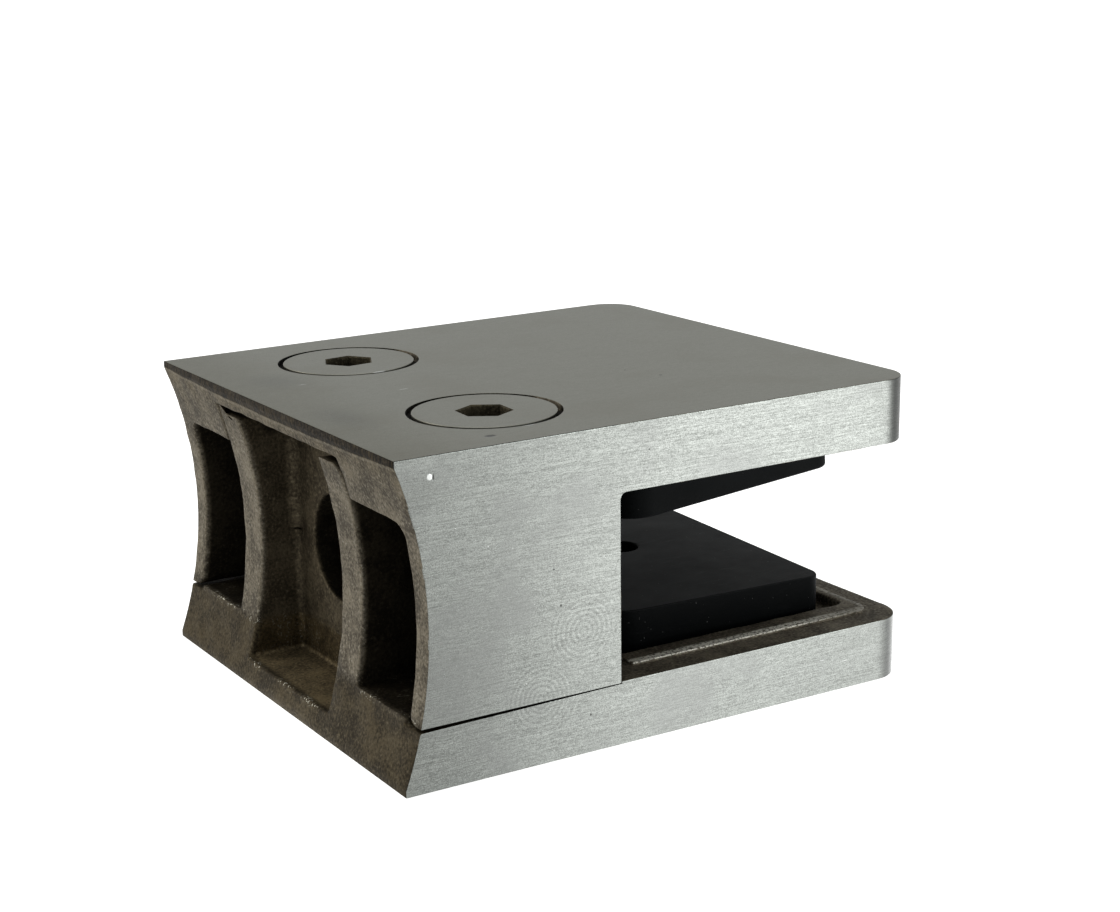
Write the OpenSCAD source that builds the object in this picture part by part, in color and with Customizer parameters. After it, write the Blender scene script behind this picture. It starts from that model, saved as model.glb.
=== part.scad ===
// Glass panel clamp: two cast jaws, screwed together, that hold a pane edge against a round post.
// X runs from the post to the pane, Y across the clamp, Z up. The origin is under its middle.

/* [Body] */
// Width of both jaws, across the pane edge
body_w = 46; // [42:1:60]
// Length from the horn tips at the post to the front of the jaws
body_len = 50.5; // [48:0.5:64]
// Height of the closed clamp
body_h = 27; // [25:0.5:32]
// Thickness of the base jaw's plate
base_t = 5.5; // [4.8:0.1:7]
// Thickness of the cover jaw's plate
cover_t = 5.6; // [5:0.1:7]
// Depth of the slot that takes the pane, from the front
slot_depth = 30.4; // [28:0.1:32]
// Radius of the two upright corners at the front
front_corner_r = 3.2; // [1:0.1:6]
// Radius between a side wall and the cover's plate, in the end of the slot
slot_corner_r = 0.6; // [0.2:0.1:1]

/* [Post saddle] */
// Radius of the round post that the back is hollowed for
post_r = 35.3; // [30:0.1:50]
// Depth of the hollow at mid height, behind the horn tips
saddle_sink = 2.45; // [1:0.05:2.8]

/* [Post bolt] */
// Bore for the bolt that holds the base jaw to the post
bolt_bore_d = 9.6; // [6:0.1:11]
// Distance from the horn tips to the wall that the bolt goes through
bolt_wall_x = 6.1; // [5:0.1:6.4]
// Thickness of that wall
bolt_wall_t = 3.6; // [2.4:0.1:4]

/* [Ribs of the base jaw] */
// Clear width of the channel between the two ribs
channel_w = 16.1; // [14:0.1:17]
// Thickness of each rib
rib_t = 3.75; // [2.5:0.05:4.5]
// Radius of a rib's outer edge at its top
rib_top_r = 1; // [0.3:0.1:2]
// Radius in the channel's corners, over the line where the core was split
core_upper_r = 1.1; // [0.4:0.1:1.5]
// Radius in the channel's corners, under that line
core_lower_r = 0.7; // [0.4:0.1:1.5]
// Metal left under the channel, and over it in the cover
channel_skin_t = 2.1; // [1.6:0.1:3]
// Reach of the tall rib ends that key into the cover, from the horn tips
key_reach = 8.1; // [7:0.1:8.4]
// Thickness of the wall across the end of the slot
end_wall_t = 2.5; // [2:0.1:3]

/* [Cover walls] */
// Thickness of the cover's two side walls
side_wall_t = 2.1; // [1.6:0.1:3]
// Radius where a side wall meets the cover's plate inside
side_fillet_r = 1.3; // [0.5:0.1:2]
// Radius of a side wall's foot, on its inner edge
side_foot_r = 0.9; // [0.5:0.1:1.6]
// Drop of the base jaw's ledge under a side wall, at the end of the slot
ledge_drop = 0.2; // [0.1:0.05:0.4]
// Open seam between a side wall and that ledge, at the end of the slot
seam_gap = 0.05; // [0.03:0.01:0.2]
// Open seam at the post
seam_back_gap = 0.3; // [0.1:0.05:0.5]

/* [Clamp screws] */
// Thread diameter of the two countersunk screws
screw_d = 6; // [4:0.5:6]
// Length of a screw, with its head
screw_len = 20; // [16:1:20]
// Width of the chamfer round a screw's point
screw_point = 0.6; // [0.2:0.1:1]
// Diameter of a screw's head
head_d = 12; // [10:0.1:12.4]
// Height of the straight rim round a head
head_rim_h = 0.3; // [0.1:0.05:0.5]
// Distance across the flats of the hexagon socket
hex_af = 4; // [3:0.5:4]
// Depth of the hexagon socket
hex_depth = 2.6; // [1.5:0.1:3]
// Diameter of the round mouth that a head sits in
sink_mouth_d = 12.9; // [12.6:0.1:13.4]
// Depth of that mouth's straight step
sink_step_h = 0.55; // [0.4:0.05:0.8]
// Distance from each side of the clamp to the middle of a screw
screw_inset = 10.6; // [9:0.1:11]
// Distance from the horn tips to the screws
screw_x = 13.9; // [13.6:0.1:14.4]
// Diameter of the base jaw's screw posts
screw_post_d = 10.4; // [9:0.1:11]

/* [Rubber pads] */
// Length of a pad, along the slot
pad_len = 22; // [18:0.5:22.5]
// Thickness of a pad
pad_t = 3.9; // [2.5:0.1:4.5]
// Radius of a pad's two corners at the end of the slot
pad_back_r = 3; // [1:0.5:5]
// Radius of a pad's two corners at the front
pad_front_r = 1.5; // [0.5:0.5:3]
// Diameter of the safety pin hole through a pad
pad_hole_d = 3.4; // [2:0.1:6]
// Turn of the lower pad in its loose seat, seen from above
lower_pad_turn = -3; // [-3:0.5:0]
// Droop of the upper pad, which hangs out of its seat at the end of the slot
upper_pad_droop = 4.7; // [0:0.1:5]
// Distance from the front of its seat to the upper pad
upper_pad_setback = 0.95; // [0.5:0.05:1.2]

/* [Pad seats] */
// Depth of a seat below the jaw's face
seat_depth = 0.8; // [0.5:0.1:1.2]
// Width of the jaw's edge beside a seat, on each side of the clamp
seat_edge = 5.05; // [4.6:0.05:6]
// Length of a seat, along the slot
seat_len = 25; // [24.8:0.1:26]
// Distance from the front of the jaw to the seat
seat_front = 3.2; // [3:0.1:4]
// Radius of a seat's corners
seat_corner_r = 0.8; // [0.2:0.1:1]
// Width of the raised lip along a seat's two sides
lip_w = 2.5; // [1.5:0.1:3]
// Width of the raised lip along a seat's front
lip_front_w = 1.1; // [1:0.1:1.8]
// Distance from the end of the slot to where the lips begin
lip_start = 2.8; // [2:0.1:4]
// Height of the lip above the jaw's face
lip_h = 0.25; // [0.1:0.05:0.5]
// Radius of the lip's two outer corners at the front
lip_corner_r = 1.5; // [0.5:0.1:2]

/* [Clearances] */
// Gap beside the ribs and walls that stand inside the cover
key_gap = 0.25; // [0.15:0.05:0.4]
// Gap between the tall rib ends and the cover above them
key_top_gap = 0.7; // [0.4:0.1:1]
// Radial gap round a screw's shank in the cover
shank_gap = 0.2; // [0.1:0.05:0.3]
// Radial gap round a screw's shank in its threaded hole
thread_gap = 0.05; // [0.03:0.01:0.08]
// Gap between a screw's head and its cone seat
head_gap = 0.05; // [0.03:0.01:0.08]
// Gap between each side of a pad and its seat
pad_side_gap = 1.15; // [0.9:0.05:1.5]
// Gap between the lower pad's foremost corner and the front of its seat
pad_front_gap = 0.1; // [0.05:0.05:0.5]

/* [Hidden] */
$fn = 96;
over = 1;                                         // how far a cut runs past a face
castGrey = [0.60, 0.59, 0.56];
brushedGrey = [0.66, 0.67, 0.65];
rubberBlack = [0.06, 0.065, 0.07];
screwGrey = [0.58, 0.58, 0.56];

slot_end_x = body_len - slot_depth;               // face of the wall that stops the pane
root_z = base_t / 2;                              // where what stands on the base plate begins
cover_z = body_h - cover_t;                       // underside of the cover's plate
ledge_z = base_t - ledge_drop;                    // top of the ledge at the end of the slot
wall_foot_z = ledge_z + seam_gap;                 // lower edge of the side walls
key_ceiling_z = body_h - channel_skin_t;          // top of the cover's relief over the ribs
key_top_z = key_ceiling_z - key_top_gap;          // top of the tall rib ends
rib_y = channel_w / 2 + rib_t / 2;                // middle of a rib
key_w = channel_w + 2 * rib_t;                    // over both ribs
end_wall_x = slot_end_x - end_wall_t;
end_wall_w = body_w - 2 * (side_wall_t + key_gap);
inner_top_z = cover_z - key_gap;                  // top of the low walls under the cover's plate
bolt_z = body_h / 2;
screw_y = body_w / 2 - screw_inset;
shank_r = screw_d / 2;
head_r = head_d / 2;
cone_h = head_r - shank_r;                        // a 90 degree cone
hole_foot_z = body_h - screw_len - over;          // bottom of the threaded holes
socket_turn = [27, 5];                            // angle of each socket, near and far
seat_w = body_w - 2 * seat_edge;
seat_end_x = body_len - seat_front;
seat_start_x = seat_end_x - seat_len;
pad_w = seat_w - 2 * pad_side_gap;
lower_seat_z = base_t - seat_depth;
upper_seat_z = cover_z + seat_depth;
turned_len = pad_len * cos(lower_pad_turn) - pad_w * sin(lower_pad_turn);
lower_pad_x = seat_end_x - pad_front_gap - turned_len / 2;
upper_pad_x = seat_end_x - upper_pad_setback;     // top front edge, which the upper pad turns about

// ---------- placing ----------

// Everything is drawn from the horn tips, and moved back so that the origin is in the middle
module from_horns() {
  translate([-body_len / 2, 0, 0])
    children();
}

module block(x0, x1, w, z0, z1) {
  translate([x0, -w / 2, z0])
    cube([x1 - x0, w, z1 - z0]);
}

// ---------- shared outlines ----------

// Rectangle with its own radius at the two back and the two front corners
module slab_outline(len, w, back_r, front_r) {
  difference() {
    translate([0, -w / 2])
      square([len, w]);
    for (side = [-1, 1]) {
      corner_waste(0, side * w / 2, 1, -side, back_r);
      corner_waste(len, side * w / 2, -1, -side, front_r);
    }
  }
}

// What a round corner leaves over: the corner's square less its quarter disc
module corner_waste(x, y, in_x, in_y, r) {
  if (r > 0)
    translate([x, y])
      difference() {
        translate([in_x > 0 ? -over : -r, in_y > 0 ? -over : -r])
          square(r + over);
        translate([in_x * r, in_y * r])
          circle(r);
      }
}

module jaw_outline() {
  slab_outline(body_len, body_w, 0, front_corner_r);
}

// Hollow for the post, through both jaws
module post_hollow() {
  translate([saddle_sink - post_r, 0, body_h / 2])
    rotate([90, 0, 0])
      cylinder(r = post_r, h = body_w + 2 * over, center = true);
}

// ---------- pad seats ----------

// Lip round a seat, open towards the end of the slot, drawn upwards from z = 0
module seat_lip() {
  lip_x = slot_end_x + lip_start;
  lip_len = seat_end_x + lip_front_w - lip_x;
  translate([lip_x, 0, 0])
    linear_extrude(lip_h)
      slab_outline(lip_len, seat_w + 2 * lip_w, 0, lip_corner_r);
}

module seat_pocket() {
  translate([seat_start_x, 0, -seat_depth])
    linear_extrude(seat_depth + lip_h + over)
      slab_outline(seat_len, seat_w, seat_corner_r, seat_corner_r);
}

module rubber_pad() {
  translate([-pad_len / 2, 0, 0])
    linear_extrude(pad_t)
      difference() {
        slab_outline(pad_len, pad_w, pad_back_r, pad_front_r);
        translate([pad_len / 2, 0])
          circle(d = pad_hole_d);
      }
}

// ---------- base jaw ----------

// Shape standing on the base plate, drawn as height and width and run from x0 to x1
module standing_run(x0, x1) {
  translate([x1, 0, root_z])
    rotate([0, -90, 0])
      linear_extrude(x1 - x0)
        children();
}

// A tall key end under the cover's relief, and a lower run back to the end wall
module ribs() {
  for (side = [0, 1])
    mirror([0, side, 0]) {
      standing_run(0, key_reach)
        rib_outline(key_top_z - root_z);
      standing_run(0, end_wall_x + over)
        rib_outline(inner_top_z - root_z);
    }
}

module rib_outline(height) {
  difference() {
    translate([0, rib_y - rib_t / 2])
      square([height, rib_t]);
    corner_waste(height, rib_y + rib_t / 2, -1, -1, rib_top_r);
  }
}

// What fills the upright corners between the ribs and the bolt wall
module channel_fillets() {
  for (side = [0, 1])
    mirror([0, side, 0]) {
      corner_fillet(core_lower_r, channel_skin_t - over, bolt_z);
      corner_fillet(core_upper_r, bolt_z, key_top_z);
    }
}

module corner_fillet(r, z0, z1) {
  translate([bolt_wall_x, channel_w / 2, z0])
    linear_extrude(z1 - z0)
      difference() {
        translate([-r, -r])
          square(r + over);
        translate([-r, -r])
          circle(r);
      }
}

module bolt_wall() {
  block(bolt_wall_x, bolt_wall_x + bolt_wall_t, channel_w + over, root_z, inner_top_z);
  block(bolt_wall_x, key_reach, channel_w + over, root_z, key_top_z);
}

// Its upper corners run round inside the cover's fillets
module end_wall() {
  standing_run(end_wall_x, slot_end_x)
    slab_outline(inner_top_z - root_z, end_wall_w, 0, side_fillet_r - key_gap);
}

module screw_posts() {
  for (side = [-1, 1])
    translate([screw_x, side * screw_y, root_z])
      cylinder(d = screw_post_d, h = cover_z - root_z);
}

module threaded_holes() {
  for (side = [-1, 1])
    translate([screw_x, side * screw_y, hole_foot_z])
      cylinder(r = shank_r + thread_gap, h = body_h);
}

// The plate, let in to a thin skin where the channel is
module floored_plate() {
  difference() {
    linear_extrude(base_t)
      jaw_outline();
    block(-over, bolt_wall_x, channel_w, channel_skin_t, base_t + over);
  }
}

// What the ledges under the cover's side walls leave out of the plate; they fall towards the post
module ledge_waste() {
  for (side = [0, 1])
    mirror([0, side, 0])
      translate([0, side_wall_t + key_gap - body_w / 2, 0])
        rotate([90, 0, 0])
          linear_extrude(side_wall_t + key_gap + over)
            polygon([
              [0, wall_foot_z - seam_back_gap],
              [slot_end_x, ledge_z],
              [slot_end_x, base_t + over],
              [0, base_t + over]
            ]);
}

module bolt_bore() {
  translate([bolt_wall_x - over, 0, bolt_z])
    rotate([0, 90, 0])
      cylinder(d = bolt_bore_d, h = bolt_wall_t + 2 * over);
}

module base_jaw() {
  color(castGrey)
    from_horns()
      difference() {
        union() {
          floored_plate();
          ribs();
          bolt_wall();
          end_wall();
          channel_fillets();
          screw_posts();
          translate([0, 0, base_t])
            seat_lip();
        }
        post_hollow();
        ledge_waste();
        bolt_bore();
        threaded_holes();
        translate([0, 0, base_t])
          seat_pocket();
      }
}

// ---------- cover jaw ----------

// Side wall with its rounded foot and the fillet under the plate, as one section along X
module side_wall_outline() {
  difference() {
    square([side_wall_t, cover_z + over - wall_foot_z]);
    translate([side_wall_t, 0])
      difference() {
        translate([-side_foot_r, -over])
          square(side_foot_r + over);
        translate([-side_foot_r, side_foot_r])
          circle(side_foot_r);
      }
  }
  translate([side_wall_t, cover_z - wall_foot_z - side_fillet_r])
    difference() {
      square(side_fillet_r);
      translate([side_fillet_r, 0])
        circle(side_fillet_r);
    }
}

module side_walls() {
  for (side = [0, 1])
    mirror([0, side, 0])
      translate([0, -body_w / 2, wall_foot_z])
        rotate([90, 0, 90])
          linear_extrude(slot_end_x)
            side_wall_outline();
}

// What fills the corner of the slot's end, between each side wall and the plate
module slot_corners() {
  for (side = [0, 1])
    mirror([0, side, 0])
      translate([slot_end_x, side_wall_t - body_w / 2, cover_z])
        rotate([90, 0, 0])
          linear_extrude(side_wall_t)
            difference() {
              translate([-over, -slot_corner_r])
                square([slot_corner_r + over, slot_corner_r + over]);
              translate([slot_corner_r, -slot_corner_r])
                circle(slot_corner_r);
            }
}

// Room for the ribs' tall ends and the bolt wall's tongue
module key_relief() {
  block(-over, key_reach + key_gap, key_w + 2 * key_gap, cover_z - over, key_ceiling_z);
}

// Hole, cone seat and straight mouth for one screw, down from the cover's top
module screw_sink() {
  cone_top_r = head_r + head_gap;
  cone_foot_r = shank_r + shank_gap;
  cone_top_z = -head_rim_h;
  translate([0, 0, -cover_t - over])
    cylinder(r = cone_foot_r, h = cover_t + 2 * over);
  translate([0, 0, cone_top_z - (cone_top_r - cone_foot_r)])
    cylinder(r1 = cone_foot_r, r2 = cone_top_r, h = cone_top_r - cone_foot_r);
  translate([0, 0, -sink_step_h])
    cylinder(d = sink_mouth_d, h = sink_step_h + over);
}

module cover_jaw() {
  color(brushedGrey)
    from_horns()
      difference() {
        union() {
          translate([0, 0, cover_z])
            linear_extrude(cover_t)
              jaw_outline();
          side_walls();
          slot_corners();
          translate([0, 0, cover_z])
            mirror([0, 0, 1])
              seat_lip();
        }
        post_hollow();
        key_relief();
        for (side = [-1, 1])
          translate([screw_x, side * screw_y, body_h])
            screw_sink();
        translate([0, 0, cover_z])
          mirror([0, 0, 1])
            seat_pocket();
      }
}

// ---------- pads ----------

module lower_pad() {
  color(rubberBlack)
    from_horns()
      translate([lower_pad_x, 0, lower_seat_z])
        rotate([0, 0, lower_pad_turn])
          rubber_pad();
}

// Its back hangs down out of the seat
module upper_pad() {
  color(rubberBlack)
    from_horns()
      translate([upper_pad_x, 0, upper_seat_z])
        rotate([0, -upper_pad_droop, 0])
          translate([-pad_len / 2, 0, -pad_t])
            rubber_pad();
}

// ---------- screws ----------

// Countersunk screw, drawn down from the top of its head
module clamp_screw(turn) {
  difference() {
    rotate_extrude()
      polygon([
        [0, 0],
        [head_r, 0],
        [head_r, -head_rim_h],
        [shank_r, -head_rim_h - cone_h],
        [shank_r, -screw_len + screw_point],
        [shank_r - screw_point, -screw_len],
        [0, -screw_len]
      ]);
    rotate([0, 0, turn])
      translate([0, 0, -hex_depth])
        cylinder(d = hex_af / cos(30), h = hex_depth + over, $fn = 6);
  }
}

module screw_near() {
  color(screwGrey)
    from_horns()
      translate([screw_x, -screw_y, body_h])
        clamp_screw(socket_turn[0]);
}

module screw_far() {
  color(screwGrey)
    from_horns()
      translate([screw_x, screw_y, body_h])
        clamp_screw(socket_turn[1]);
}

base_jaw();
cover_jaw();
lower_pad();
upper_pad();
screw_near();
screw_far();
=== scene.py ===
import math

import bmesh
import bpy
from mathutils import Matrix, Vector, noise


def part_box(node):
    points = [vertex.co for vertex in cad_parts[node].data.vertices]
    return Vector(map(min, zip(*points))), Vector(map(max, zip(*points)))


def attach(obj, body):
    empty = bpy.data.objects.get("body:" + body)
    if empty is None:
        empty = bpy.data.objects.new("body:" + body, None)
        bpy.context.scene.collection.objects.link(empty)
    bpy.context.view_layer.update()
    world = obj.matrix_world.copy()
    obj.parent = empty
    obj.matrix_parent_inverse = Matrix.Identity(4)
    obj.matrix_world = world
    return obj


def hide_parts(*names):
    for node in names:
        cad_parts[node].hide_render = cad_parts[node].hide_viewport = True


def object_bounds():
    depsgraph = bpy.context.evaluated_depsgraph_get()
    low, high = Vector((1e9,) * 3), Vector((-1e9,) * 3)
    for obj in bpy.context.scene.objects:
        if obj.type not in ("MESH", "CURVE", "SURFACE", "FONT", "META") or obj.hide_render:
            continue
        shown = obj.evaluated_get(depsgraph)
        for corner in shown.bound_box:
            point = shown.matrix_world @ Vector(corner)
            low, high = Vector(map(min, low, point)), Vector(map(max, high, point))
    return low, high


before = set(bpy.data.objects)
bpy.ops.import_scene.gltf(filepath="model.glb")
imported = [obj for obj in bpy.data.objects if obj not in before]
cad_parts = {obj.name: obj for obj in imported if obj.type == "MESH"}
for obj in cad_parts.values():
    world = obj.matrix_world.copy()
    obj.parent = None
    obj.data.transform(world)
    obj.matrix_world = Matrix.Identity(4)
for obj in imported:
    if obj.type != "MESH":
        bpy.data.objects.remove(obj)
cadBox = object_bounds()
mm = 0.001
print("frame loaded, box", [round(v / mm, 2) for v in (cadBox[1] - cadBox[0])], "mm")


# nodes

def newNode(tree, kind, sockets=None, **settings):
    made = tree.nodes.new(kind)
    for key, value in settings.items():
        setattr(made, key, value)
    for key, value in (sockets or {}).items():
        if isinstance(value, bpy.types.NodeSocket):
            tree.links.new(value, made.inputs[key])
        else:
            made.inputs[key].default_value = value
    return made


def combine(tree, operation, first, second):
    return newNode(tree, "ShaderNodeMath", {0: first, 1: second}, operation=operation).outputs[0]


def product(tree, *factors):
    made = factors[0]
    for factor in factors[1:]:
        made = combine(tree, "MULTIPLY", made, factor)
    return made


def blended(tree, values, shares):
    made = None
    for value, share in zip(values, shares):
        part = product(tree, value, share)
        made = part if made is None else combine(tree, "ADD", made, part)
    return made


def magnitude(tree, value):
    return newNode(tree, "ShaderNodeMath", {0: value}, operation="ABSOLUTE").outputs[0]


def distance(tree, value, start):
    return magnitude(tree, combine(tree, "SUBTRACT", value, start))


def opposite(tree, mask):
    return combine(tree, "SUBTRACT", 1, mask)


def splitAxes(tree, place):
    made = newNode(tree, "ShaderNodeSeparateXYZ", {0: place})
    return made.outputs[0], made.outputs[1], made.outputs[2]


def mixNumber(tree, factor, low, high):
    return newNode(tree, "ShaderNodeMapRange", {"Value": factor, "To Min": low, "To Max": high}).outputs[0]


def window(tree, value, low, high, smooth=True):
    # 0 under low, 1 over high
    return newNode(tree, "ShaderNodeMapRange", {"Value": value, "From Min": low, "From Max": high},
                   interpolation_type="SMOOTHSTEP" if smooth else "LINEAR").outputs[0]


def ramp(tree, value, ends, start=0):
    # 0 at the first end and 1 at the second, both in mm from start
    return window(tree, value, start + ends[0] * mm, start + ends[1] * mm)


def mixColour(tree, factor, first, second, blend="MIX"):
    made = newNode(tree, "ShaderNodeMix", {"Factor": factor}, data_type="RGBA", blend_type=blend)
    for key, value in (("A", first), ("B", second)):
        if isinstance(value, bpy.types.NodeSocket):
            tree.links.new(value, made.inputs[key])
        else:
            made.inputs[key].default_value = (*value, 1)
    return made.outputs["Result"]


def scaled(tree, vector, factor):
    made = newNode(tree, "ShaderNodeVectorMath", {0: vector, "Scale": factor}, operation="SCALE")
    return made.outputs[0]


def grain(tree, place, size, detail=3, rough=0.55, stretch=(1, 1, 1)):
    # size in mm
    mapped = newNode(tree, "ShaderNodeMapping", {"Vector": place, "Scale": stretch})
    return newNode(tree, "ShaderNodeTexNoise", {"Vector": mapped.outputs[0], "Scale": 1 / (size * mm),
                   "Detail": detail, "Roughness": rough}).outputs["Fac"]


def flecked(tree, colour, place, fleck, detail=3, rough=0.55):
    mask = window(tree, grain(tree, place, fleck["size"], detail, rough), *fleck["ends"])
    return mixColour(tree, product(tree, mask, fleck["share"]), colour, fleck["colour"])


def farFrom(tree, place, centre, reach=(1, 1, 1)):
    # how far a point lies from a centre, counted in the half widths in reach
    moved = newNode(tree, "ShaderNodeMapping", {"Vector": place, "Location": [v * mm for v in centre],
                    "Scale": reach}, vector_type="TEXTURE")
    return newNode(tree, "ShaderNodeVectorMath", {0: moved.outputs[0]}, operation="LENGTH").outputs["Value"]


def spotMask(tree, place, spots, soft):
    # each spot is a centre and three half widths, in mm
    mask = None
    for centre, reach in spots:
        one = window(tree, farFrom(tree, place, centre, [v * mm for v in reach]), 1, soft)
        mask = one if mask is None else combine(tree, "MAXIMUM", mask, one)
    return mask


def startMaterial(name):
    made = bpy.data.materials.new(name)
    made.use_nodes = True
    tree = made.node_tree
    tree.nodes.clear()
    return made, tree, newNode(tree, "ShaderNodeTexCoord").outputs["Object"]


def endMaterial(tree, colour, rough, bumps, metallic, **uniform):
    # bumps are pairs of a height and its depth in mm, worked one over the other
    normal = None
    for height, depth in bumps:
        bump = newNode(tree, "ShaderNodeBump", {"Height": height, "Distance": depth * mm, "Strength": 1.0})
        if normal is not None:
            tree.links.new(normal, bump.inputs["Normal"])
        normal = bump.outputs[0]
    shader = newNode(tree, "ShaderNodeBsdfPrincipled", {"Base Color": colour, "Roughness": rough,
                     "Normal": normal, "Metallic": metallic})
    for key, value in uniform.items():
        shader.inputs[key].default_value = value
    newNode(tree, "ShaderNodeOutputMaterial", {"Surface": shader.outputs[0]})


# camera, floor and light

cameraSpec = {
    "place": (-0.09168, -0.15248, 0.06427),
    "turn": (74.0377, 1.5920, -29.4995),      # degrees about x, y and z
    "lens": 65.333,
    "shift": (0.0893, 0.0536),
}

lightSpec = {
    "worldLow": (0.93, 0.94, 0.95),           # at the horizon
    "worldHigh": (0.42, 0.43, 0.43),          # overhead
    "fade": (0.01, 0.22),                     # sine of the height, from the first tone to the second
    "brightWay": (0.62, -0.78, 0),            # the way to the bright part of the horizon
    "brightWidth": (58, 8),                   # degrees from there, where it fades out and is full
    "brightLevel": 3.4,
    "floorRadius": 6,                         # m
    "floorGap": 0.02,                         # mm, under the clamp
    "floorColour": (0.80, 0.80, 0.79),
    "floorSeen": 0.85,                        # what the camera sees, beside the lit floor
    "floorGlow": (0.45, 1.95),                # what polished faces see, from dim to bright
    "glowRise": (-31, 1),                     # mm, from dim to bright on the left and on the right
    "glowFall": (88, 48),
    "glowSlant": 0.70,                        # how far those lines lean outward
    "glowOut": (30, 110),                     # mm from the middle, where the floor grows brighter still
    "glowGain": 1.5,
    "lamps": {
        "keyWindow": {"place": (0.33, -0.45, 0.09), "size": (0.17, 0.16), "watts": 0.3,
                      "tint": (0.96, 1.0, 0.98)},
        "backFill": {"place": (-0.40, 0.26, 0.22), "size": (0.45, 0.45), "watts": 1.1,
                     "tint": (1.0, 0.95, 0.86)},
        "topFill": {"place": (0.05, 0.05, 0.60), "size": (0.5, 0.5), "watts": 0.6,
                    "tint": (1.0, 1.0, 1.0)},
    },
}


def makeCamera(spec):
    lens = bpy.data.cameras.new("viewLens")
    lens.lens = spec["lens"]
    lens.sensor_width = 36
    lens.shift_x, lens.shift_y = spec["shift"]
    lens.clip_start, lens.clip_end = 0.005, 20
    camera = bpy.data.objects.new("viewCamera", lens)
    camera.location = spec["place"]
    camera.rotation_euler = [math.radians(v) for v in spec["turn"]]
    bpy.context.scene.collection.objects.link(camera)
    bpy.context.scene.camera = camera


def floorPaint(spec):
    paint, tree, place = startMaterial("paleFloorPaint")
    rays = newNode(tree, "ShaderNodeLightPath").outputs
    x, y = splitAxes(tree, place)[:2]
    aside = magnitude(tree, y)
    lean = combine(tree, "SUBTRACT", x, product(tree, aside, spec["glowSlant"]))
    start = -spec["glowSlant"] * cadBox[1].y
    rise, fall = (ramp(tree, lean, spec[key], start) for key in ("glowRise", "glowFall"))
    outward = mixNumber(tree, ramp(tree, aside, spec["glowOut"]), 1, spec["glowGain"])
    level = product(tree, mixNumber(tree, product(tree, rise, fall), *spec["floorGlow"]), outward)
    glowing = combine(tree, "ADD", product(tree, rays["Is Camera Ray"], spec["floorSeen"]),
                      product(tree, rays["Is Glossy Ray"], level))
    glow = newNode(tree, "ShaderNodeEmission", {"Color": (1, 1, 1, 1), "Strength": glowing})
    matt = newNode(tree, "ShaderNodeBsdfDiffuse", {"Color": (*spec["floorColour"], 1)})
    both = newNode(tree, "ShaderNodeAddShader", {0: glow.outputs[0], 1: matt.outputs[0]})
    newNode(tree, "ShaderNodeOutputMaterial", {"Surface": both.outputs[0]})
    return paint


def makeFloor(spec):
    mesh = bpy.data.meshes.new("paleFloor")
    bm = bmesh.new()
    bmesh.ops.create_circle(bm, cap_ends=True, radius=spec["floorRadius"], segments=96)
    bm.to_mesh(mesh)
    bm.free()
    mesh.materials.append(floorPaint(spec))
    floor = bpy.data.objects.new("paleFloor", mesh)
    floor.location.z = cadBox[0].z - spec["floorGap"] * mm
    bpy.context.scene.collection.objects.link(floor)


def makeWorld(spec):
    world = bpy.data.worlds.new("studioWorld")
    bpy.context.scene.world = world
    world.use_nodes = True
    tree = world.node_tree
    tree.nodes.clear()
    way = newNode(tree, "ShaderNodeTexCoord").outputs["Generated"]
    height = window(tree, splitAxes(tree, way)[2], *spec["fade"])
    tone = mixColour(tree, height, spec["worldLow"], spec["worldHigh"])
    facing = newNode(tree, "ShaderNodeVectorMath", {0: way, 1: spec["brightWay"]}, operation="DOT_PRODUCT")
    edge, full = (math.cos(math.radians(v)) for v in spec["brightWidth"])
    bright = product(tree, window(tree, facing.outputs["Value"], edge, full), opposite(tree, height))
    shine = newNode(tree, "ShaderNodeBackground", {"Color": tone,
                    "Strength": mixNumber(tree, bright, 1, spec["brightLevel"])})
    newNode(tree, "ShaderNodeOutputWorld", {"Surface": shine.outputs[0]})


def makeLamps(spec):
    aim = (cadBox[0] + cadBox[1]) / 2
    for name, lamp in spec["lamps"].items():
        data = bpy.data.lights.new(name, "AREA")
        data.shape = "RECTANGLE"
        data.size, data.size_y = lamp["size"]
        data.energy = lamp["watts"]
        data.color = lamp["tint"]
        made = bpy.data.objects.new(name, data)
        made.location = lamp["place"]
        made.rotation_euler = (aim - made.location).to_track_quat("-Z", "Y").to_euler()
        bpy.context.scene.collection.objects.link(made)


makeCamera(cameraSpec)
makeFloor(lightSpec)
makeWorld(lightSpec)
makeLamps(lightSpec)
bpy.context.scene.view_settings.view_transform = "Standard"
print("camera, floor and light made")


# places on the clamp

postR = 35.3 * mm                             # of the hollow back
saddleSink = 2.45 * mm
cornerR = 3.2 * mm
halfW = cadBox[1].y
frontX = cadBox[1].x
backX = cadBox[0].x
topZ = cadBox[1].z
baseZ = cadBox[0].z
midZ = (baseZ + topZ) / 2
slotEnd = -5.4 * mm
boltWallX = backX + 6.1 * mm
floorZ = 2.1 * mm                             # the channel's floor
pocketZ = 5.45 * mm                           # the pockets' floors
screwAxes = [((low + high) / 2).xy for low, high in (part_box("screw_near"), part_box("screw_far"))]


def behind(tree, x, z):
    # how far a point lies inside the hollow back, in metres
    up = combine(tree, "SUBTRACT", z, midZ)
    arc = combine(tree, "SUBTRACT", postR ** 2, product(tree, up, up))
    arc = newNode(tree, "ShaderNodeMath", {0: arc}, operation="SQRT").outputs[0]
    return combine(tree, "SUBTRACT", combine(tree, "SUBTRACT", x, arc), backX + saddleSink - postR)


# brushed steel

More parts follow.
